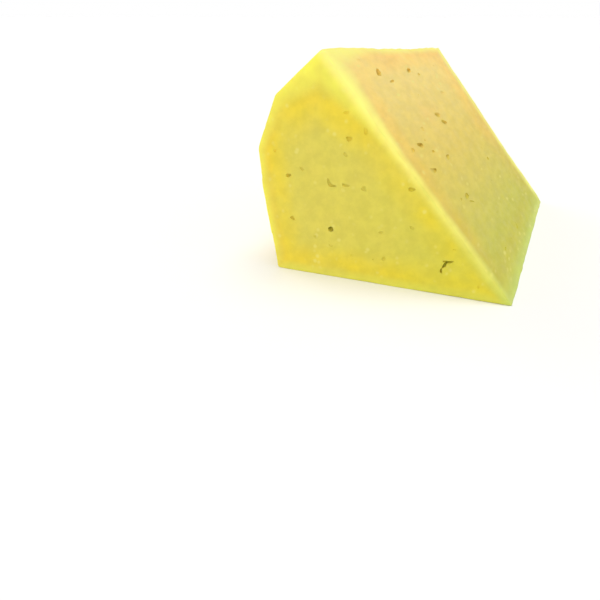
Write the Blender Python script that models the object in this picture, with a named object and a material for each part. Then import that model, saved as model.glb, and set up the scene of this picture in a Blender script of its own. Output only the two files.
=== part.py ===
"""A wedge of aged sheep milk cheese with its rind pared off, lying on one of its two radial cut faces.

The wedge is a sector of the wheel. Its tip edge runs along the wheel's axis, which is the Y axis here.
The front is the flat cut across the wheel and looks along -Y. The rim is on the -X side and the tip on the
+X side. The upper radial face slopes down from the rim to the tip. Lengths are in metres.

The wedge is drawn as a straight sector with the same outline all along. The hand's cut is then put in: the
sector tapers and opens a little towards the far end.
"""

from math import atan2, cos, hypot, radians, sin

import bmesh
import bpy
from mathutils import Matrix, Vector, noise

NAME = "cheese_wedge"
MM = 0.001

# The wedge: its long radial edge, its length along the wheel's axis, and the angle between its two radial
# faces at the front and at the far end, where the knife ran off a little.
LONG_EDGE = 0.0800
LENGTH = 0.1035
FRONT_ANGLE = radians(48.2)
FAR_ANGLE = radians(50.2)

# The far end's size as a share of the front's, and how many stretches the wedge's length is built in.
FAR_SHARE = 0.903
STRETCHES = 6

# The rim's corners, where the knife strokes that took the rind off meet: the angle above the base, and the
# distance from the tip edge as a share of the long edge, from the base corner up to the top corner.
RIM_CORNERS = (
    (0.0, 0.828),
    (radians(15.2), 0.905),
    (radians(25.4), 0.993),
    (radians(36.1), 1.026),
    (FRONT_ANGLE, 1.000),
)

# Edges that turn by more than LEAST_TURN are rounded. The shallow bend low on the rim stays as it was cut.
EDGE_RADIUS = 0.0006
EDGE_STEPS = 3
LEAST_TURN = radians(12)
SMOOTH_TURN = radians(30)

# The larger eyes and splits of the paste: the face, the place on it, the length and width at the surface,
# the turn in degrees, and the bend of the eye's long axis as a share of its length. Places and sizes are in
# millimetres, on the straight sector. On the front a place is the distance from the tip edge and the height
# above the base. On the upper radial face it is the distance from the tip edge and the distance from the front.
EYES = (
    ("front", 45.4, 38.7, 2.2, 1.5, 10, 0.10),
    ("front", 62.4, 27.5, 1.7, 1.2, -20, 0.00),
    ("front", 50.2, 26.5, 3.0, 1.2, 35, 0.25),
    ("front", 46.1, 26.6, 2.2, 1.0, 15, 0.10),
    ("front", 28.4, 27.3, 1.8, 1.1, 0, 0.00),
    ("front", 49.9, 14.0, 1.9, 1.5, 0, 0.00),
    ("front", 61.2, 15.7, 1.6, 1.2, 40, 0.00),
    ("front", 17.6, 8.6, 3.4, 1.0, -30, 0.30),
    ("upper", 71.7, 24.7, 2.9, 1.5, 25, 0.15),
    ("upper", 68.5, 31.0, 1.5, 1.2, 0, 0.00),
    ("upper", 71.2, 51.7, 2.0, 2.6, 0, 0.05),
    ("upper", 53.4, 50.1, 3.6, 1.0, 32, 0.08),
    ("upper", 48.4, 54.0, 2.6, 0.8, 32, 0.00),
    ("upper", 47.9, 16.6, 2.4, 1.4, 60, 0.20),
    ("upper", 40.1, 32.5, 2.2, 1.1, 20, 0.05),
    ("upper", 27.0, 24.7, 4.0, 1.2, 50, 0.35),
)

# How an eye is made: the subdivisions of its sphere, its half depth as a share of its width, how far its
# middle lies under the face as a share of that depth, and the height and pitch of the lumps on its wall.
EYE_SUBDIVISIONS = 2
EYE_DEPTH = 0.60
EYE_SINK = 0.25
LUMP_HEIGHT = 0.22
LUMP_PITCH = 1.7
LUMP_SHIFT = Vector((7.3, 0.0, 0.0))


def clear_scene():
    for obj in list(bpy.data.objects):
        bpy.data.objects.remove(obj)


def polar(angle, distance):
    """A point of the section: its angle above the base, and its distance from the tip edge."""
    return Vector((-distance * cos(angle), 0.0, distance * sin(angle)))


def section():
    """The outline of the straight sector: the tip, then the rim's corners from the top down."""
    return [Vector()] + [polar(angle, share * LONG_EDGE) for angle, share in reversed(RIM_CORNERS)]


def as_cut(point):
    """Where a point of the straight sector comes to lie when the sector tapers and opens."""
    along = point.y / LENGTH
    angle = atan2(point.z, -point.x) * (1 + (FAR_ANGLE / FRONT_ANGLE - 1) * along)
    distance = hypot(point.x, point.z) * (1 + (FAR_SHARE - 1) * along)
    return polar(angle, distance) + Vector((0, point.y, 0))


def paste_material():
    """Firm pale yellow paste, slightly waxy."""
    material = bpy.data.materials.new("cheese_paste")
    material.use_nodes = True
    shader = material.node_tree.nodes["Principled BSDF"]
    shader.inputs["Base Color"].default_value = (0.79, 0.66, 0.20, 1.0)
    shader.inputs["Roughness"].default_value = 0.5
    shader.inputs["Metallic"].default_value = 0.0
    return material


def wedge_mesh():
    """The wedge from one outline to the next along its length, closed by the front and the far end."""
    mesh = bmesh.new()
    rings = []
    for stretch in range(STRETCHES + 1):
        step = Vector((0, LENGTH * stretch / STRETCHES, 0))
        rings.append([mesh.verts.new(as_cut(point + step)) for point in section()])
    mesh.faces.new(rings[0])
    mesh.faces.new(reversed(rings[-1]))
    for near, far in zip(rings, rings[1:]):
        for i in range(len(near)):
            mesh.faces.new((near[i], near[i - 1], far[i - 1], far[i]))
    bmesh.ops.recalc_face_normals(mesh, faces=mesh.faces)
    return mesh


def round_edges(mesh):
    """A small round on every edge of the cut faces."""
    sharp = [edge for edge in mesh.edges if edge.calc_face_angle(0.0) > LEAST_TURN]
    bmesh.ops.bevel(
        mesh,
        geom=sharp,
        offset=EDGE_RADIUS,
        offset_type="OFFSET",
        segments=EDGE_STEPS,
        profile=0.5,
        affect="EDGES",
    )


def face_frame(face):
    """A matrix whose X runs along the face from the tip to the rim, Y across it, and Z out of it."""
    if face == "front":
        along, across, out = Vector((-1, 0, 0)), Vector((0, 0, 1)), Vector((0, -1, 0))
    else:
        along, across = polar(FRONT_ANGLE, 1.0), Vector((0, 1, 0))
        out = Vector((sin(FRONT_ANGLE), 0, cos(FRONT_ANGLE)))
    return Matrix((along, across, out)).transposed().to_4x4()


def eye_mesh(number, face, along, across, length, width, turn, bend):
    """A bent, lumpy ellipsoid. Its middle lies just under the face, so it opens an undercut pit."""
    mesh = bmesh.new()
    bmesh.ops.create_icosphere(mesh, subdivisions=EYE_SUBDIVISIONS, radius=1.0)
    depth = EYE_DEPTH * width
    for vert in mesh.verts:
        lump = 1 + LUMP_HEIGHT * noise.noise(vert.co * LUMP_PITCH + number * LUMP_SHIFT)
        x, y, z = vert.co * lump
        sideways = bend * length * (x * x - 1 / 3)
        vert.co = (x * length / 2, y * width / 2 + sideways, (z - EYE_SINK) * depth)
    place = Matrix.Translation((along, across, 0.0)) @ Matrix.Rotation(radians(turn), 4, "Z")
    mesh.transform(face_frame(face) @ place)
    for vert in mesh.verts:
        vert.co = as_cut(vert.co)
    return mesh


def cut_eyes(wedge):
    """Cuts every eye out of the wedge, all with one Boolean."""
    together = bmesh.new()
    for number, (face, *sizes, turn, bend) in enumerate(EYES):
        eye = eye_mesh(number, face, *(size * MM for size in sizes), turn, bend)
        scratch = bpy.data.meshes.new("eye")
        eye.to_mesh(scratch)
        eye.free()
        together.from_mesh(scratch)
        bpy.data.meshes.remove(scratch)
    bmesh.ops.recalc_face_normals(together, faces=together.faces)
    data = bpy.data.meshes.new("eyes")
    together.to_mesh(data)
    together.free()
    cutter = bpy.data.objects.new("eye_cutter", data)
    bpy.context.scene.collection.objects.link(cutter)
    cutter.hide_render = True
    cutter.display_type = "WIRE"
    boolean = wedge.modifiers.new("eyes", "BOOLEAN")
    boolean.operation = "DIFFERENCE"
    boolean.solver = "EXACT"
    boolean.object = cutter
    return cutter


def to_bottom_centre(mesh):
    """The shift that brings the middle of the underside of the wedge's box to the origin."""
    low = Vector([min(vert.co[i] for vert in mesh.verts) for i in range(3)])
    high = Vector([max(vert.co[i] for vert in mesh.verts) for i in range(3)])
    middle = (low + high) / 2
    return Vector((-middle.x, -middle.y, -low.z))


def main():
    clear_scene()
    mesh = wedge_mesh()
    round_edges(mesh)
    bmesh.ops.triangulate(mesh, faces=mesh.faces)
    shift = to_bottom_centre(mesh)
    data = bpy.data.meshes.new(NAME)
    mesh.to_mesh(data)
    mesh.free()
    data.materials.append(paste_material())
    wedge = bpy.data.objects.new(NAME, data)
    bpy.context.scene.collection.objects.link(wedge)
    cutter = cut_eyes(wedge)
    for obj in (wedge, cutter):
        obj.location = shift
    data.shade_smooth()
    data.set_sharp_from_angle(angle=SMOOTH_TURN)


main()
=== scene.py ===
# A pared wedge of firm sheep milk cheese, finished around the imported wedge. The shapes below are worked
# out in millimetres and put into the meshes in metres. The wedge is first a straight sector with the same
# outline all along. The hand's cut comes last: asCut tapers it and opens it a little.
import math
import bmesh
import bpy
import numpy as np
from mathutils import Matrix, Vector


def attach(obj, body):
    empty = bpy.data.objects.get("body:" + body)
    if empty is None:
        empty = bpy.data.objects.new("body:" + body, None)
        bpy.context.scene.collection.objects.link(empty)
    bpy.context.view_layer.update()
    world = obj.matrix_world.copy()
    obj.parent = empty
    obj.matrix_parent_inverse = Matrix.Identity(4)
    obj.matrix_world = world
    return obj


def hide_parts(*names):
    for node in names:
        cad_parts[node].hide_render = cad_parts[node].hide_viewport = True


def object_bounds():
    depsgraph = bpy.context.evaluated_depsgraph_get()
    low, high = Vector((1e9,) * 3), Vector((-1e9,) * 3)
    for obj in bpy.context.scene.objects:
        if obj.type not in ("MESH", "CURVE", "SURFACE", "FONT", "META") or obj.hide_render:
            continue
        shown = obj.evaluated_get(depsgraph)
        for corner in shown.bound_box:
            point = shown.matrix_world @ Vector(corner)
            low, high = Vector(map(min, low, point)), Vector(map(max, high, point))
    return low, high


mm = 0.001
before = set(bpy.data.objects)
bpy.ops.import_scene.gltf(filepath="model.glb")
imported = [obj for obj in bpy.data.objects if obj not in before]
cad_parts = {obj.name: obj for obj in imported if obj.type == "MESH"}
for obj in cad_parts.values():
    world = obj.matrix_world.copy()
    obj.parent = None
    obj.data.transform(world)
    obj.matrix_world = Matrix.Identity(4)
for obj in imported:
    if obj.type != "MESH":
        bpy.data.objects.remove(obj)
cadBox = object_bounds()
print("frame loaded, box in mm:", [[round(c / mm, 1) for c in corner] for corner in cadBox])


# The wedge

# all lengths here are in mm
wedge = {
    "longEdge": 80.0,  # from the tip line to the top of the rim, at the front
    "openAngle": 48.2,  # between the two radial faces at the front, degrees
    "farAngle": 50.2,  # and at the far end
    "farShare": 0.903,  # size of the far end as a share of the front
    "tipInset": 0.22,  # how far the sharp tip line would stand out past the box
    "rimAngle": (0.0, 15.2, 25.4, 36.1, 48.2),  # the rim's corners, from the base up, degrees
    "rimShare": (0.828, 0.905, 0.993, 1.026, 1.0),  # their distance from the tip line, in long edges
    "spacing": 0.85,  # between lattice lines on the broad faces
    "edgeSpacing": 0.26,  # between lattice lines beside an edge
    "edgeReach": (0.3, 3.0),  # over which distance from an edge they spread out
    "coreInset": 4.0,  # how deep the rays start that find the surface
    "rayReach": 1.25,  # how far they go, as a share of the way to the sharp sector
    "halvings": 24,  # how often the stretch that holds the surface is halved
    "cutSoft": 0.17,  # softness of the knife-cut edges
    "ridgeSoft": 0.80,  # softness of the long ridge between the front and the upper face
    "ridgeReach": 5.0,  # how far from the ridge that softness reaches
    "ridgeTop": (0.0, 12.0),  # over which distance from the rim the ridge gets soft
    "ridgeTip": (2.0, 20.0),  # and from the tip line
    "softSpread": 0.25,  # how uneven the softness is, as a share
    "softMost": 1.6,  # the most that counts of it, in spreads
    "softWaves": (24, 5.0, 30.0),  # how many waves that unevenness is made of, their shortest and longest
    "bow": 0.10,  # height of the long, low unevenness of the faces
    "bowWaves": (20, 26.0, 70.0),
    "ripple": 0.035,  # height of the knife's ripples
    "rippleWaves": (40, 5.0, 14.0),
    "baseFade": (0.4, 3.5),  # over which height above the flat base the unevenness grows
    "nick": 0.14,  # depth of the nicks along the edges
    "nickWaves": (40, 2.2, 6.0),
    "nickLevel": 1.3,  # only what stands above this in the waves is a nick
    "nickMost": 1.2,  # and only so much of it
    "nickFade": (0.2, 2.0),  # over which height above the base the nicks grow
    "nickEdge": 0.5,  # how crowded the faces' planes are where a nick is full
    "scallop": 0.32,  # how hollow each facet of the rim is pared
    "stroke": 0.055,  # height of the lines that the knife drew along the rim
    "strokeWaves": (40, 2.6, 7.0),
    "strokeLength": 14.0,  # how many times longer than wide they are
    "paringReach": 1.5,  # how deep under the rim the paring still shows
    "paringStart": (2.0, 16.0),  # over which distance from the front it grows
    "seed": 11,
}


def waves(points, seed, count, shortest, longest):
    # A sum of plane waves: sines of each point's place along seeded directions, with wave lengths from
    # shortest to longest in mm and seeded phases. Divided so that the values spread by about 1.
    draw = np.random.default_rng(seed)
    way = draw.normal(size=(count, 3))
    way /= np.linalg.norm(way, axis=1, keepdims=True)
    length = shortest * (longest / shortest) ** draw.random(count)
    phase = draw.random(count) * 2 * np.pi
    return np.sin(points @ (way * (2 * np.pi / length)[:, None]).T + phase).sum(1) * math.sqrt(2 / count)


def smoothStep(value, start, end):
    # 0 before start and 1 after end, with a level S curve between.
    t = np.clip((value - start) / (end - start), 0, 1)
    return t * t * (3 - 2 * t)


def polar(angle, distance):
    # A point of the section, by cosine and sine of its angle above the base times its distance from the
    # tip line, which lies at zero.
    angle = np.radians(angle)
    distance = np.asarray(distance, float)
    return np.stack([-distance * np.cos(angle), 0 * distance, distance * np.sin(angle)], -1)


wedgeLength = (cadBox[1].y - cadBox[0].y) / mm
tipLine = np.array([cadBox[1].x / mm + wedge["tipInset"], cadBox[0].y / mm, 0.0])
rimRing = polar(np.array(wedge["rimAngle"]), np.array(wedge["rimShare"]) * wedge["longEdge"])
farStep = np.array([0.0, wedgeLength, 0.0])


def turnedAndDrawnIn(points, inverse=False):
    # Towards the far end a point's angle above the base grows evenly and its distance from the tip line
    # shrinks evenly. The inverse divides by the same growth instead.
    along = points[..., 1] / wedgeLength
    opening = 1 + (wedge["farAngle"] / wedge["openAngle"] - 1) * along
    drawing = 1 + (wedge["farShare"] - 1) * along
    if inverse:
        opening, drawing = 1 / opening, 1 / drawing
    angle = np.arctan2(points[..., 2], -points[..., 0]) * opening
    distance = np.hypot(points[..., 0], points[..., 2]) * drawing
    return np.stack([-distance * np.cos(angle), points[..., 1], distance * np.sin(angle)], -1)


def asCut(points):
    # A point of the straight sector goes to its place in the wedge, in the shared frame, in metres.
    return (turnedAndDrawnIn(points) + tipLine) * mm


def straightened(points):
    # A point of the wedge, in metres, goes back to its place in the straight sector.
    return turnedAndDrawnIn(points / mm - tipLine, inverse=True)


def wedgePlanes():
    # One plane for each cut face of the straight sector, as an outward unit normal and an offset. Each
    # side plane stands on a leg of the outline, and its normal is the leg turned by a right angle.
    legs = {"base": (rimRing[0], np.zeros(3)), "upper": (np.zeros(3), rimRing[4])}
    for i in range(4):
        legs[f"rim{i}"] = (rimRing[i + 1], rimRing[i])
    names, normals, offsets = ["front", "far"], [[0, -1, 0], [0, 1, 0]], [0.0, wedgeLength]
    for name, (start, end) in legs.items():
        leg = (end - start) / np.linalg.norm(end - start)
        normal = np.array([leg[2], 0, -leg[0]])
        names.append(name)
        normals.append(normal)
        offsets.append(normal @ start)
    return names, np.array(normals), np.array(offsets)


planeNames, planeNormals, planeOffsets = wedgePlanes()
planeOf = {name: i for i, name in enumerate(planeNames)}
rimPlanes = [i for i, name in enumerate(planeNames) if name.startswith("rim")]
inside = rimRing[2] * 0.6 + farStep * 0.5
assert (planeNormals @ inside < planeOffsets).all(), "a face's plane looks inwards"


def planeDistances(points):
    # How far each point lies outside each face's plane, in mm, less than zero inside.
    return points @ planeNormals.T - planeOffsets


def edgeSoftness(points, distances):
    # Softness grows along the ridge, where both the front and the upper face are near. It falls again
    # towards the ridge's ends, and it is uneven.
    near = np.hypot(distances[:, planeOf["front"]], distances[:, planeOf["upper"]])
    radius = np.hypot(points[:, 0], points[:, 2])
    ridge = np.exp(-((near / wedge["ridgeReach"]) ** 2))
    ridge = ridge * smoothStep(-distances[:, planeOf["rim3"]], *wedge["ridgeTop"])
    ridge = ridge * smoothStep(radius, *wedge["ridgeTip"])
    soft = wedge["cutSoft"] + (wedge["ridgeSoft"] - wedge["cutSoft"]) * ridge
    uneven = waves(points, wedge["seed"], *wedge["softWaves"])
    return soft * (1 + wedge["softSpread"] * np.clip(uneven, -wedge["softMost"], wedge["softMost"]))


def faceUnevenness(points):
    # The long bow of the cuts, plus the knife's ripples, plus the paring of the rim, all dying out
    # towards the base.
    bow = wedge["bow"] * waves(points, wedge["seed"] + 1, *wedge["bowWaves"])
    ripple = wedge["ripple"] * waves(points, wedge["seed"] + 2, *wedge["rippleWaves"])
    return (bow + ripple + paring(points)) * smoothStep(points[:, 2], *wedge["baseFade"])


def paring(points):
    # On the rim, a parabola across each facet, level along it, plus waves that are drawn out along the
    # rim. Both die out under the rim, by a bell curve of the depth.
    depth = -planeDistances(points)[:, rimPlanes].max(1)
    angle = np.degrees(np.arctan2(points[:, 2], -points[:, 0]))
    facet = np.interp(angle, wedge["rimAngle"], range(len(rimPlanes) + 1)) % 1
    hollow = 4 * facet * (1 - facet) * wedge["scallop"]
    drawn = points / (1, wedge["strokeLength"], 1)
    stroke = wedge["stroke"] * waves(drawn, wedge["seed"] + 4, *wedge["strokeWaves"])
    share = np.exp(-((depth / wedge["paringReach"]) ** 2)) * smoothStep(points[:, 1], *wedge["paringStart"])
    return (hollow + stroke) * share


def nicks(points):
    # Small bites: only the peaks of short waves count.
    peaks = waves(points, wedge["seed"] + 3, *wedge["nickWaves"]) - wedge["nickLevel"]
    bites = np.clip(peaks, 0, wedge["nickMost"])
    return wedge["nick"] * bites * smoothStep(points[:, 2], *wedge["nickFade"])


def crowdedLine(length, creases):
    # Places from 0 to 1 along a line of that length in mm, close together beside each crease and at the
    # coarse spacing elsewhere. The wanted density is summed along the line, in many small steps, and the
    # places are where that sum is even.
    along = np.linspace(0, length, 4001)
    nearest = np.min([np.abs(along - crease) for crease in creases], 0)
    spread = smoothStep(nearest, *wedge["edgeReach"])
    step = wedge["edgeSpacing"] + (wedge["spacing"] - wedge["edgeSpacing"]) * spread
    total = np.concatenate([[0], np.cumsum((1 / step[1:] + 1 / step[:-1]) / 2 * np.diff(along))])
    count = int(round(total[-1]))
    return np.interp(np.linspace(0, total[-1], count + 1), total, along) / length


def alongPolyline(t, corners):
    # Points at shares t of the whole run along straight legs between corners.
    legs = np.linalg.norm(np.diff(corners, axis=0), axis=1)
    at = np.concatenate([[0], np.cumsum(legs)]) / legs.sum()
    return np.stack([np.interp(t, at, corners[:, i]) for i in range(3)], -1)


def sectorPoint(a, b, w):
    # A four-sided patch blended from its sides: a runs from the tip along the base and along the upper
    # half of the rim, and b runs from the tip up the long edge and up the lower half of the rim. w runs
    # to the far end.
    middle = rimRing[2]
    low = alongPolyline(a, np.array([[0, 0, 0], rimRing[0]]))
    high = alongPolyline(a, rimRing[[4, 3, 2]])
    left = alongPolyline(b, np.array([[0, 0, 0], rimRing[4]]))
    right = alongPolyline(b, rimRing[:3])
    a, b, w = a[:, None], b[:, None], w[:, None]
    corners = (1 - b) * a * rimRing[0] + b * (1 - a) * rimRing[4] + a * b * middle
    return (1 - b) * low + b * high + (1 - a) * left + a * right - corners + farStep * w


def latticeShell(counts):
    # The closed shell of a box lattice: the points on its outside are numbered, and each side is joined
    # in quads that face outwards.
    onShell = np.zeros(counts, bool)
    for axis in range(3):
        np.moveaxis(onShell, axis, 0)[[0, -1]] = True
    number = (np.cumsum(onShell) - 1).reshape(counts)
    quads = []
    for axis in range(3):
        for end in (0, -1):
            side = np.moveaxis(number, axis, 0)[end]
            quad = np.stack([side[:-1, :-1], side[1:, :-1], side[1:, 1:], side[:-1, 1:]], -1).reshape(-1, 4)
            quads.append(quad[:, ::-1] if (end == 0) != (axis == 1) else quad)
    return np.argwhere(onShell), np.concatenate(quads)


def wedgeSurface():
    # Each lattice point looks outwards along a ray from a core inside the sector. The surface is where
    # the soft maximum of the distances to all the faces' planes, plus the unevenness and the nicks,
    # reaches zero. It is found by halving. crowd is by how much the soft maximum passes the plain one,
    # which it does near an edge.
    sizes = (np.linalg.norm(rimRing[0]), wedge["longEdge"], wedgeLength)
    rimLegs = np.linalg.norm(np.diff(rimRing, axis=0), axis=1)
    bends = (rimLegs[3] / (rimLegs[3] + rimLegs[2]), rimLegs[0] / (rimLegs[0] + rimLegs[1]), 0)
    lines = [crowdedLine(size, (0, size, bend * size)) for size, bend in zip(sizes, bends)]
    index, quads = latticeShell([len(line) for line in lines])
    params = [line[index[:, i]] for i, line in enumerate(lines)]
    insets = [wedge["coreInset"] / size for size in sizes]
    sharp = sectorPoint(*params)
    core = sectorPoint(*[np.clip(p, inset, 1 - inset) for p, inset in zip(params, insets)])
    soft = edgeSoftness(sharp, planeDistances(sharp))
    lift, nick = faceUnevenness(sharp), nicks(sharp)
    low, high = np.zeros(len(sharp)), np.full(len(sharp), wedge["rayReach"])
    for halving in range(wedge["halvings"]):
        middle = (low + high) / 2
        distances = planeDistances(core + middle[:, None] * (sharp - core)) / soft[:, None]
        top = distances.max(1)
        crowd = np.log(np.exp(distances - top[:, None]).sum(1))
        bite = nick * np.clip(crowd / wedge["nickEdge"], 0, 1)
        outside = soft * (top + crowd) + lift + bite > 0
        high, low = np.where(outside, middle, high), np.where(outside, low, middle)
    return core + low[:, None] * (sharp - core), quads


def makeObject(name, points, faces):
    # Points of the straight sector, in mm, become the wedge's mesh.
    mesh = bpy.data.meshes.new(name)
    mesh.from_pydata(asCut(points).tolist(), [], faces)
    mesh.validate()
    made = bpy.data.objects.new(name, mesh)
    bpy.context.scene.collection.objects.link(made)
    return made


wedgePoints, wedgeQuads = wedgeSurface()
paste = makeObject("wedgePaste", wedgePoints, wedgeQuads.tolist())
print("wedge surface:", len(wedgePoints), "points,", 2 * len(wedgeQuads), "triangles")


# The eyes and splits of the paste

eyes = {
    # face, place on it (from the tip line, then height or distance from the front), length, width, turn
    # in degrees, bend as a share of the length, depth as a share of the width
    "placed": (
        ("front", 45.4, 38.7, 2.1, 1.4, 10, 0.10, 0.38),
        ("front", 62.4, 27.5, 1.7, 1.2, -20, 0.00, 0.5),
        ("front", 50.2, 26.5, 3.0, 1.2, 35, 0.25, 0.5),
        ("front", 46.1, 26.6, 2.2, 1.0, 15, 0.10, 0.4),
        ("front", 28.4, 27.3, 1.8, 1.1, 0, 0.00, 0.5),
        ("front", 49.9, 14.0, 1.8, 1.5, 0, 0.00, 1.0),
        ("front", 61.2, 15.7, 1.6, 1.2, 40, 0.00, 0.5),
        # the split near the tip, a crooked fork
        ("front", 17.5, 9.5, 2.9, 0.8, -5, 0.10, 1.3),
        ("front", 18.3, 8.4, 2.4, 0.9, -55, 0.00, 1.4),
        ("front", 18.9, 6.8, 1.9, 0.7, 85, 0.10, 1.1),
        # on the upper face they are drawn out along the cut
        ("upper", 71.6, 24.7, 5.0, 2.2, 72, 0.05, 0.95),
        ("upper", 68.3, 30.4, 4.2, 1.1, 84, 0.00, 0.40),
        ("upper", 71.3, 52.1, 5.4, 1.8, 74, 0.05, 0.42),
        ("upper", 53.6, 49.6, 4.8, 2.2, -80, 0.08, 0.45),
        ("upper", 50.4, 51.4, 4.6, 2.0, -78, 0.00, 0.42),
        ("upper", 47.5, 17.2, 4.4, 1.7, -84, 0.10, 0.38),
        ("upper", 40.4, 31.9, 3.8, 1.8, 73, 0.05, 0.36),
        ("upper", 27.9, 24.4, 4.6, 1.7, 80, 0.10, 0.38),
        ("upper", 25.9, 25.0, 4.2, 1.0, -70, 0.00, 0.35),
        # fainter ones
        ("front", 46.4, 45.0, 1.5, 0.9, -20, 0.10, 0.3),
        ("front", 58.5, 29.8, 1.3, 0.8, 20, 0.00, 0.3),
        ("front", 46.2, 34.6, 1.6, 1.0, 40, 0.10, 0.3),
        ("front", 35.7, 14.9, 1.4, 0.9, -15, 0.00, 0.3),
        ("front", 27.6, 17.4, 1.6, 0.8, 25, 0.15, 0.3),
        ("upper", 47.4, 9.6, 2.8, 1.2, 85, 0.00, 0.35),
        ("upper", 39.8, 14.2, 4.8, 1.8, -82, 0.10, 0.22),
        ("upper", 44.2, 23.0, 2.6, 1.0, -89, 0.00, 0.30),
        ("upper", 60.4, 69.7, 5.5, 1.4, 88, 0.10, 0.25),
    ),
    # how many small ones are scattered on each face
    "scattered": {
        "front": 12,
        "upper": 26,
        "far": 30,
        "base": 24,
        "rim0": 8,
        "rim1": 12,
        "rim2": 12,
        "rim3": 16,
    },
    "field": (85, 105),  # the places tried reach this far along and across a face, mm
    "tries": 4000,  # how many places are tried on a face
    "lengthRange": (0.5, 1.9),  # of the scattered ones, mm
    "otherRange": (0.6, 3.0),  # the same on the faces with no placed ones
    "shortLean": 2.2,  # how much the small ones outnumber the large ones
    "widthRange": (0.45, 0.95),  # as a share of the length
    "bendRange": (-0.2, 0.2),  # as a share of the length
    "depthRange": (0.18, 0.40),  # as a share of the width
    "drawnOut": 1.8,  # how much longer the scattered ones of the upper face are, along the cut
    "turnShare": 0.25,  # how much of their turn away from the cut is kept
    "edgeGap": 1.6,  # least distance from an edge, mm
    "eyeGap": 1.4,  # least gap between two eyes, mm
    "passGap": 0.75,  # eyes nearer than this share of their joint length are cut in different passes
    "rings": 9,
    "spokes": 12,
    "taperRange": (-0.35, 0.35),  # how much thicker one end is
    "sink": 0.22,  # how far the middle lies under the face, as a share of the depth
    "lump": 0.13,  # unevenness of an eye's wall
    "lumpMost": 1.8,  # the most that counts of it, in spreads
    "lumpWaves": (24, 1.1, 3.5),  # its waves, as above, with lengths as a share of the eye's half size
    "seed": 5,
}


def faceFrame(name):
    # A place on the face, its two in-plane directions and its outward normal. The first direction runs
    # from the tip to the rim, or up a facet of the rim. The second runs up or away from the front.
    normal = planeNormals[planeOf[name]]
    start = farStep if name == "far" else np.zeros(3)
    toRim = rimRing[4] if name == "upper" else rimRing[0]
    if name.startswith("rim"):
        i = int(name[3:])
        start, toRim = rimRing[i], rimRing[i + 1] - rimRing[i]
    along = toRim / np.linalg.norm(toRim)
    across = np.cross(normal, along)
    wanted = np.array([0, 0, 1.0]) if name in ("front", "far") else np.array([0, 1.0, 0])
    return start, along, across * np.sign(across @ wanted), normal


def scatterEyes():
    # Seeded places on each face. A place is kept if it is clear of the edges and of every eye already kept.
    draw = np.random.default_rng(eyes["seed"])
    rows = list(eyes["placed"])
    for name, wanted in eyes["scattered"].items():
        start, along, across, normal = faceFrame(name)
        others = [i for i, other in enumerate(planeNames) if other != name]
        kept = [(row[1], row[2], max(row[3], row[4])) for row in rows if row[0] == name]
        left = wanted
        shortest, longest = eyes["lengthRange" if kept else "otherRange"]
        for attempt in range(eyes["tries"]):
            s, t = draw.random(2) * eyes["field"]
            length = shortest + (longest - shortest) * draw.random() ** eyes["shortLean"]
            width = length * draw.uniform(*eyes["widthRange"])
            turn = draw.uniform(-90, 90)
            bend = draw.uniform(*eyes["bendRange"])
            depth = draw.uniform(*eyes["depthRange"])
            if name == "upper":
                length, turn = length * eyes["drawnOut"], 90 + turn * eyes["turnShare"]
            place = (start + s * along + t * across)[None]
            if planeDistances(place)[0, others].max() > -eyes["edgeGap"] - length / 2:
                continue
            if any(math.hypot(s - k[0], t - k[1]) < (length + k[2]) / 2 + eyes["eyeGap"] for k in kept):
                continue
            kept.append((s, t, length))
            rows.append((name, s, t, length, width, turn, bend, depth))
            left -= 1
            if left == 0:
                break
    return rows


def separatePasses(rows):
    # Rows whose shells meet, such as the arms of a split, are cut in different passes: each row goes into
    # the first pass where it stays clear of the rows that are in it already.
    passes = []
    for row in rows:
        for others in passes:
            near = [other for other in others if other[0] == row[0]]
            gaps = [math.hypot(row[1] - other[1], row[2] - other[2]) for other in near]
            sizes = [max(row[3:5]) + max(other[3:5]) for other in near]
            if all(gap > size * eyes["passGap"] for gap, size in zip(gaps, sizes)):
                others.append(row)
                break
        else:
            passes.append([row])
    return passes


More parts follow.
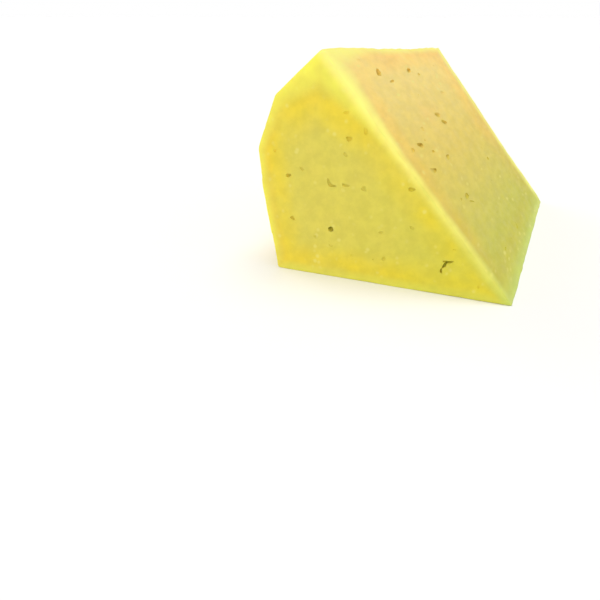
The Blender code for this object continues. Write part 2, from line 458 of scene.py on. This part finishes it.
def eyeShells(rows):
    # Each eye is a sphere of rings and spokes, with one point at each pole. It is stretched to the eye's
    # length, width and depth, and sunk as far as the uneven face is. Its long axis is bent to a bow by
    # the square of the place along it, one end is made thicker than the other, and its wall is pushed in
    # and out by waves.
    rings, spokes = eyes["rings"], eyes["spokes"]
    u = np.repeat(np.linspace(0, np.pi, rings + 1)[1:-1], spokes)
    v = np.tile(np.linspace(0, 2 * np.pi, spokes, endpoint=False), rings - 1)
    ball = np.stack([np.sin(u) * np.cos(v), np.sin(u) * np.sin(v), np.cos(u)], -1)
    ball = np.concatenate([[[0, 0, 1.0]], ball, [[0, 0, -1.0]]])
    ring = 1 + np.arange(rings - 1)[:, None] * spokes + np.arange(spokes)[None]
    turned = np.roll(ring, -1, 1)
    last = len(ball) - 1
    sides = np.stack([ring[:-1], ring[1:], turned[1:], turned[:-1]], -1).reshape(-1, 4)
    caps = [(0, p, q) for p, q in zip(ring[0], turned[0])]
    caps += [(last, q, p) for p, q in zip(ring[-1], turned[-1])]
    draw = np.random.default_rng(eyes["seed"] + 1)
    shift = draw.uniform(-50, 50, (len(rows), 1, 3))
    taper = draw.uniform(*eyes["taperRange"], (len(rows), 1))
    size = np.array([[row[3] / 2, row[4] / 2, row[4] * row[7]] for row in rows])
    bend = np.array([[row[6] * row[3]] for row in rows])
    turn = np.radians([[row[5]] for row in rows])
    many = np.broadcast_to(ball, (len(rows),) + ball.shape)
    lump = waves((many + shift).reshape(-1, 3), eyes["seed"] + 2, *eyes["lumpWaves"])
    lump = np.clip(lump, -eyes["lumpMost"], eyes["lumpMost"]).reshape(len(rows), -1, 1)
    many = many * (1 + eyes["lump"] * lump)
    x = many[..., 0] * size[:, :1]
    y = many[..., 1] * size[:, 1:2] * (1 + taper * many[..., 0]) + bend * (many[..., 0] ** 2 - 1 / 3)
    frames = np.array([faceFrame(row[0]) for row in rows])
    middles = frames[:, 0] + sum(np.array([[row[i]] for row in rows]) * frames[:, i] for i in (1, 2))
    z = (many[..., 2] - eyes["sink"]) * size[:, 2:] - faceUnevenness(middles)[:, None]
    s = np.array([[row[1]] for row in rows]) + x * np.cos(turn) - y * np.sin(turn)
    t = np.array([[row[2]] for row in rows]) + x * np.sin(turn) + y * np.cos(turn)
    points = frames[:, None, 0] + s[..., None] * frames[:, None, 1] + t[..., None] * frames[:, None, 2]
    points = points + z[..., None] * frames[:, None, 3]
    faces = []
    for i in range(len(rows)):
        # a frame whose axes are left-handed turns the shell inside out, so its faces are turned round
        along, across, normal = frames[i, 1:]
        step = -1 if np.cross(along, across) @ normal < 0 else 1
        faces += [tuple(int(p) + i * len(ball) for p in face)[::step] for face in sides]
        faces += [tuple(int(p) + i * len(ball) for p in face)[::step] for face in caps]
    return points.reshape(-1, 3), faces


def cutEyes(piece, rows):
    # One Boolean takes the eyes out, and its result becomes the piece's own mesh.
    cutter = makeObject("eyeShells", *eyeShells(rows))
    boolean = piece.modifiers.new("eyes", "BOOLEAN")
    boolean.operation, boolean.solver, boolean.object = "DIFFERENCE", "EXACT", cutter
    whole = piece.evaluated_get(bpy.context.evaluated_depsgraph_get())
    cut = bpy.data.meshes.new_from_object(whole)
    piece.modifiers.clear()
    piece.data = cut
    cut.name = piece.name
    bpy.data.objects.remove(cutter)


def dissolveSpares(mesh):
    # The cuts leave points where only two edges meet. They are dissolved, so that no triangles overlap.
    ends = np.empty(2 * len(mesh.edges), np.int32)
    mesh.edges.foreach_get("vertices", ends)
    spares = np.flatnonzero(np.bincount(ends, minlength=len(mesh.vertices)) == 2)
    work = bmesh.new()
    work.from_mesh(mesh)
    work.verts.ensure_lookup_table()
    bmesh.ops.dissolve_verts(work, verts=[work.verts[i] for i in spares.tolist()])
    work.to_mesh(mesh)
    work.free()


eyeRows = scatterEyes()
for rows in separatePasses(eyeRows):
    cutEyes(paste, rows)
    print("eyes cut in this pass:", len(rows))
dissolveSpares(paste.data)
print("eyes:", len(eyeRows), "now", sum(len(p.vertices) - 2 for p in paste.data.polygons), "triangles")


# What the finish reads from the shape

# all lengths here are in mm
zones = {
    "edgeWidth": 3.2,  # reach of the painted highlight and glow beside an edge, for light caught by and seen through the thin paste there
    "endSwell": {"front": 1.35, "far": 2.4},  # how much wider it is beside the two ends
    "topSwell": 2.2,  # how much further it reaches at the front's top corner, as a share
    "topReach": 15.0,  # how far from that corner
    "edgeLeast": 0.45,  # how much of it is left at the tip and at the base
    "edgeFull": 38.0,  # how far from the tip it is full
    "edgeFar": (60.0, 100.0),  # or over which distance from the front it gets full
    "edgeHigh": (0.5, 7.0),  # and over which height above the base
    "rimCalm": 0.35,  # how much weaker it is beside the rim, except on the upper face
    "calmStart": (5.0, 20.0),  # over which distance from the rim's top that grows
    "glowBand": (0.5, 3.5, 11.0),  # where the painted golden glow beside an edge starts, is full and ends
    "skinDepth": 3.0,  # depth under the upper face at which its colour, with its painted light and sheen, has died out
    "rimDepth": 5.0,  # the same under the pared rim
    "facetHighlight": 1.1,  # half width of the painted highlight where two facets of the rim meet
    "lineStart": (0.5, 6.0),  # over which distance from the front that painted highlight grows
    "upperGrain": 0.42,  # the grain's scale along the cut on the upper face
    "pitStart": 0.28,  # depth at which an eye's wall starts to darken with painted shade
    "sharpAngle": 38.0,  # corners that turn by more are shaded sharp, degrees
}


def addFloat(mesh, name, values):
    # One number at each point, for the material to read.
    layer = mesh.attributes.new(name, "FLOAT", "POINT")
    layer.data.foreach_set("value", values.astype(np.float32))


def measureZones(piece):
    # What the material reads, from each point's depth under every cut face. radius is the distance from
    # the tip line and pitDepth the depth under the nearest face, past pitStart, for the painted shade in
    # the eyes. upperSkin and rimSkin are 1 on the upper face and on the rim and die out under them.
    # facetHighlight is a bell curve of the distance from where two facets of the rim meet, for a painted
    # highlight there. grain is the place in mm, squeezed along the cut on the upper face, for its drawn out
    # grain. paintedEdgeLight is 1 on an edge and dies out away from it, and paintedEdgeGlow rises and falls
    # again a little further in: they carry the painted highlight and glow beside the edges. Both follow the
    # depth under the second nearest face, with the rim's facets taken as one face, and reach further round
    # the front's top corner, by a bell curve. paintedEdgeLight is weaker at the tip, low down and beside
    # the rim.
    mesh = piece.data
    points = np.empty(3 * len(mesh.vertices), np.float32)
    mesh.vertices.foreach_get("co", points)
    points = straightened(points.reshape(-1, 3).astype(float))
    depths = -planeDistances(points)
    addFloat(mesh, "radius", np.hypot(points[:, 0], points[:, 2]))
    addFloat(mesh, "pitDepth", np.maximum(depths.min(1) - zones["pitStart"], 0))
    addFloat(mesh, "upperSkin", 1 - smoothStep(depths[:, planeOf["upper"]], 0, zones["skinDepth"]))
    rimDepth = depths[:, rimPlanes].min(1)
    addFloat(mesh, "rimSkin", 1 - smoothStep(rimDepth, 0, zones["rimDepth"]))
    bends = np.linalg.norm(points[:, None, ::2] - rimRing[None, 1:4, ::2], axis=2).min(1)
    line = np.exp(-((bends / zones["facetHighlight"]) ** 2))
    addFloat(mesh, "facetHighlight", line * smoothStep(points[:, 1], *zones["lineStart"]))
    onUpper = depths.argmin(1) == planeOf["upper"]
    grain = asCut(points) / mm
    grain[:, 1] = np.where(onUpper, grain[:, 1] * zones["upperGrain"], grain[:, 1])
    layer = mesh.attributes.new("grain", "FLOAT_VECTOR", "POINT")
    layer.data.foreach_set("vector", grain.astype(np.float32).ravel())

    # from here on the depths under the two ends count as less, so that their edges reach further
    for name, swell in zones["endSwell"].items():
        depths[:, planeOf[name]] /= swell
    grouped = np.column_stack([np.delete(depths, rimPlanes, 1), rimDepth])
    second = np.sort(grouped, 1)[:, 1]
    besideRim = (second == rimDepth) & ~onUpper
    fromTop = np.linalg.norm(points - rimRing[4], axis=1)
    second = second / (1 + zones["topSwell"] * np.exp(-((fromTop / zones["topReach"]) ** 2)))
    start, full, end = zones["glowBand"]
    addFloat(mesh, "paintedEdgeGlow", smoothStep(second, start, full) * (1 - smoothStep(second, full, end)))
    least = zones["edgeLeast"]
    rimwards = smoothStep(points[:, 0], 0, -zones["edgeFull"])
    rimwards = np.maximum(rimwards, smoothStep(points[:, 1], *zones["edgeFar"]))
    upwards = smoothStep(points[:, 2], *zones["edgeHigh"])
    strength = (least + (1 - least) * rimwards) * (least + (1 - least) * upwards)
    belowTop = np.linalg.norm(points[:, ::2] - rimRing[4, ::2], axis=1)
    strength *= 1 - zones["rimCalm"] * besideRim * smoothStep(belowTop, *zones["calmStart"])
    addFloat(mesh, "paintedEdgeLight", (1 - smoothStep(second, 0, zones["edgeWidth"])) * strength)
    mesh.shade_smooth()
    mesh.set_sharp_from_angle(angle=math.radians(zones["sharpAngle"]))


measureZones(paste)


# The paste's finish

pasteLook = {
    # colours of the faces
    "mid": (0.710, 0.620, 0.105),
    "tip": (0.650, 0.605, 0.080),
    "upperLitHigh": (0.950, 0.738, 0.260),  # the upper face's colour at the rim, which sits highest: its own peach tone, brightened by painted light and a painted bluish sheen
    "upperMiddle": (0.770, 0.600, 0.120),
    "upperShadedLow": (0.540, 0.550, 0.075),  # and towards the tip, which sits lowest: darker with painted shade, greener in its own tone
    "upperTipSheen": (0.520, 0.640, 0.130),  # paler and greener right at the tip edge: a painted sheen along its rounded edge
    "warm": (0.880, 0.560, 0.170),  # the orange patches
    # edge and upperEdge: painted highlight and glow of light caught by and seen through the thin edges
    "edge": (0.990, 0.960, 0.120),
    "upperEdge": (1.000, 0.960, 0.240),  # paler along the upper face, and the colour of the facets' painted highlight
    "granule": (0.860, 0.800, 0.260),
    # tints, as a share of the paste's colour
    "rim": (1.060, 0.960, 0.840),  # the pared rim
    "glow": (1.160, 1.060, 0.550),  # the painted golden glow beside an edge
    "upperGlow": (1.090, 0.970, 0.820),  # and on the upper face, where it is peach
    "pit": (0.880, 0.920, 0.800),  # painted shade on an eye's wall
    # where they lie, from the tip line, mm
    "tipBand": (12.0, 60.0),  # where the tip's colour is full and where it has died out
    "upperBand": (8.0, 42.0, 79.0),  # where the upper face's low, middle and high colours are full
    "tipEdge": (0.5, 7.5),  # where the tip edge's painted sheen is full and where it has died out
    # how strong they are
    "edgeShare": 0.90,
    "facetHighlightShare": 0.25,  # of the painted highlights where the rim's facets meet
    "warmShare": (0.08, 0.45),  # away from the upper face and on it
    "granuleShare": 0.45,
    "mottle": 0.05,
    "pitFull": 0.7,  # depth past pitStart at which an eye's wall has its full painted shade, mm
    # patches: their size in mm, and the levels of the noise where they start and are full
    "glowPatch": (12.0, 0.35, 0.60),
    "warmPatch": (17.0, 0.46, 0.68),
    "edgePatch": (6.0, 0.25, 0.60),
    "linePatch": (5.0, 0.35, 0.60),
    "mottlePatch": (3.2, 0.30, 0.70),
    "granulePatch": (4.0, 0.46, 0.66),
    "glossPatch": (2.2, 0.30, 0.70),
    "granuleGap": 2.6,  # between granules, mm
    "granuleSize": (0.05, 0.34),  # from a granule's middle, where it is full and where it ends, in gaps
    # relief: size in mm, strength, height in mm
    "crumb": (0.6, 0.20, 0.03),
    "dimple": (1.6, 0.25, 0.08),
    "granuleLift": (0.40, 0.10),  # strength, height in mm
    # surface
    "roughness": (0.44, 0.60),
    "gloss": 0.14,
    "subsurface": 0.25,
    "scatter": (1.0, 0.72, 0.20),
    "scatterReach": 3.0,  # mm
}


def addNode(tree, kind, inputs=(), **settings):
    # A node with its settings, and each input either linked or set.
    made = tree.nodes.new(kind)
    for name, value in settings.items():
        setattr(made, name, value)
    for socket, value in dict(inputs).items():
        if isinstance(value, bpy.types.NodeSocket):
            tree.links.new(value, made.inputs[socket])
        else:
            made.inputs[socket].default_value = value
    return made


def mapRange(tree, value, low, high, toLow=0.0, toHigh=1.0):
    # The value goes from toLow to toHigh while it runs from low to high, along a level S curve.
    made = addNode(tree, "ShaderNodeMapRange", {0: value, 1: low, 2: high, 3: toLow, 4: toHigh})
    made.interpolation_type = "SMOOTHSTEP"
    return made.outputs[0]


def mixColour(tree, share, first, second, blend="MIX"):
    # From the first colour to the second by the share, each either linked or set.
    made = addNode(tree, "ShaderNodeMix", data_type="RGBA", blend_type=blend)
    for socket, value in ((0, share), (6, first), (7, second)):
        if isinstance(value, bpy.types.NodeSocket):
            tree.links.new(value, made.inputs[socket])
        else:
            made.inputs[socket].default_value = (*value, 1) if isinstance(value, tuple) else value
    return made.outputs[2]


def times(tree, first, second):
    # The product of two values.
    return addNode(tree, "ShaderNodeMath", {0: first, 1: second}, operation="MULTIPLY").outputs[0]


def pasteMaterial():
    # The colour goes from the faces' broad zones down to the granules, and ends with the painted highlight
    # and glow of the edges and the painted shade in the eyes. Every pattern reads the grain attribute.
    material = bpy.data.materials.new("cheesePaste")
    material.use_nodes = True
    tree = material.node_tree
    shader = tree.nodes["Principled BSDF"]
    inMm = addNode(tree, "ShaderNodeAttribute", attribute_name="grain").outputs["Vector"]

    def noise(size, detail=2.0, rough=0.5):
        # noise whose lumps are about size mm across
        inputs = {"Vector": inMm, "Scale": 1 / size, "Detail": detail, "Roughness": rough}
        return addNode(tree, "ShaderNodeTexNoise", inputs).outputs[0]

    def patches(name, low, high, detail=2.0, rough=0.5):
        # the value is high where the named patches are and low elsewhere
        size, start, full = pasteLook[name]
        return mapRange(tree, noise(size, detail, rough), start, full, low, high)

    def relief(height, strength, distance, under=None):
        # a bump of that height in mm, on top of the one under it
        inputs = {"Height": height, "Strength": strength, "Distance": distance * mm}
        if under:
            inputs["Normal"] = under
        return addNode(tree, "ShaderNodeBump", inputs).outputs[0]

    def zone(name):
        return addNode(tree, "ShaderNodeAttribute", attribute_name=name).outputs["Fac"]

    look = pasteLook
    # colour, from the broad zones down to the granules
    tipShare = mapRange(tree, zone("radius"), *look["tipBand"], 1.0, 0.0)
    colour = mixColour(tree, tipShare, look["mid"], look["tip"])
    # the upper face grows paler, warmer and bluer towards the rim, which sits highest: partly its own peach
    # tone, partly painted light from above and a painted sheen
    tipEnd, middle, rimEnd = look["upperBand"]
    lowShare = addNode(tree, "ShaderNodeMapRange", {0: zone("radius"), 1: tipEnd, 2: middle}).outputs[0]
    highShare = addNode(tree, "ShaderNodeMapRange", {0: zone("radius"), 1: middle, 2: rimEnd}).outputs[0]
    upper = mixColour(tree, lowShare, look["upperShadedLow"], look["upperMiddle"])
    upper = mixColour(tree, highShare, upper, look["upperLitHigh"])
    # a painted sheen along the upper face's tip edge
    full, none = look["tipEdge"]
    tipEdge = addNode(tree, "ShaderNodeMapRange", {0: zone("radius"), 1: none, 2: full}).outputs[0]
    upper = mixColour(tree, tipEdge, upper, look["upperTipSheen"])
    colour = mixColour(tree, zone("upperSkin"), colour, upper)
    colour = mixColour(tree, zone("rimSkin"), colour, mixColour(tree, 1.0, colour, look["rim"], "MULTIPLY"))
    # a painted golden glow a little in from each edge, peach on the upper face
    glowShare = times(tree, zone("paintedEdgeGlow"), patches("glowPatch", 0.5, 1.0))
    glow = mixColour(tree, zone("upperSkin"), look["glow"], look["upperGlow"])
    colour = mixColour(tree, glowShare, colour, mixColour(tree, 1.0, colour, glow, "MULTIPLY"))
    warmShare = mapRange(tree, zone("upperSkin"), 0.0, 1.0, *look["warmShare"])
    warmShare = times(tree, patches("warmPatch", 0.0, 1.0), warmShare)
    warmShare = times(tree, warmShare, mapRange(tree, zone("radius"), tipEnd, rimEnd))
    colour = mixColour(tree, warmShare, colour, look["warm"])
    mottle = patches("mottlePatch", 1 - look["mottle"], 1 + look["mottle"], 4.0, 0.62)
    grey = addNode(tree, "ShaderNodeCombineColor", {0: mottle, 1: mottle, 2: mottle}).outputs[0]
    colour = mixColour(tree, 1.0, colour, grey, "MULTIPLY")
    cellInputs = {"Vector": inMm, "Scale": 1 / look["granuleGap"], "Randomness": 1.0}
    cells = addNode(tree, "ShaderNodeTexVoronoi", cellInputs).outputs["Distance"]
    granule = mapRange(tree, cells, *look["granuleSize"], 1.0, 0.0)
    granule = times(tree, granule, patches("granulePatch", 0.0, look["granuleShare"], 1.0))
    colour = mixColour(tree, granule, colour, look["granule"])
    # a painted highlight where the rim's facets meet
    facetHighlightShare = times(tree, zone("facetHighlight"), patches("linePatch", 0.0, look["facetHighlightShare"]))
    colour = mixColour(tree, facetHighlightShare, colour, look["upperEdge"])
    # painted highlight and glow on the edges
    edgeShare = times(tree, zone("paintedEdgeLight"), look["edgeShare"])
    edgeShare = times(tree, edgeShare, patches("edgePatch", 0.6, 1.0))
    edge = mixColour(tree, zone("upperSkin"), look["edge"], look["upperEdge"])
    colour = mixColour(tree, edgeShare, colour, edge)
    # painted shade, growing with the depth inside an eye
    pit = mapRange(tree, zone("pitDepth"), 0.0, look["pitFull"])
    colour = mixColour(tree, pit, colour, mixColour(tree, 1.0, colour, look["pit"], "MULTIPLY"))
    tree.links.new(colour, shader.inputs["Base Color"])
    # gloss
    tree.links.new(patches("glossPatch", *look["roughness"], 3.0, 0.6), shader.inputs["Roughness"])
    shader.inputs["Specular IOR Level"].default_value = look["gloss"]
    shader.inputs["IOR"].default_value = 1.45
    shader.inputs["Subsurface Weight"].default_value = look["subsurface"]
    shader.inputs["Subsurface Radius"].default_value = look["scatter"]
    shader.inputs["Subsurface Scale"].default_value = look["scatterReach"] * mm
    # relief: fine crumbs, then soft dimples, then the granules
    size, strength, height = look["crumb"]
    crumbs = relief(noise(size), strength, height)
    size, strength, height = look["dimple"]
    dimples = relief(noise(size, 3.0, 0.55), strength, height, crumbs)
    tree.links.new(relief(granule, *look["granuleLift"], dimples), shader.inputs["Normal"])
    return material


paste.data.materials.clear()
paste.data.materials.append(pasteMaterial())
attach(paste, "root")
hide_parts("cheese_wedge")
print("paste finished")


# The setting: a pale floor, soft lights and the camera

setting = {
    "floorSize": 40.0,  # m, wide enough for its edge to lie on the horizon
    "floorColour": (0.96, 0.96, 0.958),
    "skyLow": 1.0,  # brightness of the room near the horizon
    "skyHigh": 0.36,  # and overhead
    "skyBand": 0.45,  # height, as the sine of the elevation, over which it falls
}


def makeFloor():
    # One square at height zero, centred under the wedge.
    half = setting["floorSize"] / 2
    corners = np.array([[-1, -1], [1, -1], [1, 1], [-1, 1]]) * half
    points = np.concatenate([corners, np.zeros((4, 1))], 1)
    mesh = bpy.data.meshes.new("floor")
    mesh.from_pydata(points.tolist(), [], [(0, 1, 2, 3)])
    floor = bpy.data.objects.new("floor", mesh)
    bpy.context.scene.collection.objects.link(floor)
    material = bpy.data.materials.new("paleBoard")
    material.use_nodes = True
    shader = material.node_tree.nodes["Principled BSDF"]
    shader.inputs["Base Color"].default_value = (*setting["floorColour"], 1)
    shader.inputs["Roughness"].default_value = 0.9
    shader.inputs["Specular IOR Level"].default_value = 0.2
    mesh.materials.append(material)
    return floor


floor = makeFloor()

lights = {
    # where each comes from, its strength, how wide it is in degrees, its colour
    "key": ((0.05, -0.75, 0.65), 0.96, 45, (1.0, 0.99, 0.97)),
    "top": ((0.05, 0.10, 0.98), 1.38, 45, (1.0, 0.985, 0.975)),
    "side": ((-0.80, 0.30, 0.52), 0.35, 25, (1.0, 1.0, 1.0)),
}

for name, (source, strength, width, colour) in lights.items():
    data = bpy.data.lights.new(name, "SUN")
    data.energy, data.angle, data.color = strength, math.radians(width), colour
    light = bpy.data.objects.new(name, data)
    bpy.context.scene.collection.objects.link(light)
    light.location = source
    x, y, z = source
    light.rotation_euler = (math.atan2(math.hypot(x, y), z), 0, math.atan2(x, -y))


def makeRoom():
    # A white room, brighter towards the horizon: its strength follows the height of the direction looked
    # in.
    world = bpy.data.worlds.new("softRoom")
    world.use_nodes = True
    tree = world.node_tree
    background = tree.nodes["Background"]
    way = addNode(tree, "ShaderNodeTexCoord").outputs["Generated"]
    height = addNode(tree, "ShaderNodeSeparateXYZ", {0: way}).outputs["Z"]
    strength = mapRange(tree, height, 0.0, setting["skyBand"], setting["skyLow"], setting["skyHigh"])
    tree.links.new(strength, background.inputs["Strength"])
    background.inputs["Color"].default_value = (1, 1, 1, 1)
    return world


bpy.context.scene.world = makeRoom()
bpy.context.scene.view_settings.view_transform = "Standard"

view = {
    "fromTip": (5.36, -147.19, 67.03),  # from the tip line's front end at the base, mm
    "turn": 23.65,  # degrees to the left of straight across the wheel
    "pitch": 25.41,  # degrees down
    "lens": 36.0,
    "sensor": 36.0,
}
cameraData = bpy.data.cameras.new("camera")
cameraData.lens, cameraData.sensor_width = view["lens"], view["sensor"]
cameraData.clip_start = 0.01
camera = bpy.data.objects.new("camera", cameraData)
bpy.context.scene.collection.objects.link(camera)
camera.location = (tipLine + np.array(view["fromTip"])) * mm
camera.rotation_euler = (math.radians(90 - view["pitch"]), 0, math.radians(view["turn"]))
bpy.context.scene.camera = camera
print("setting, lights and camera placed")
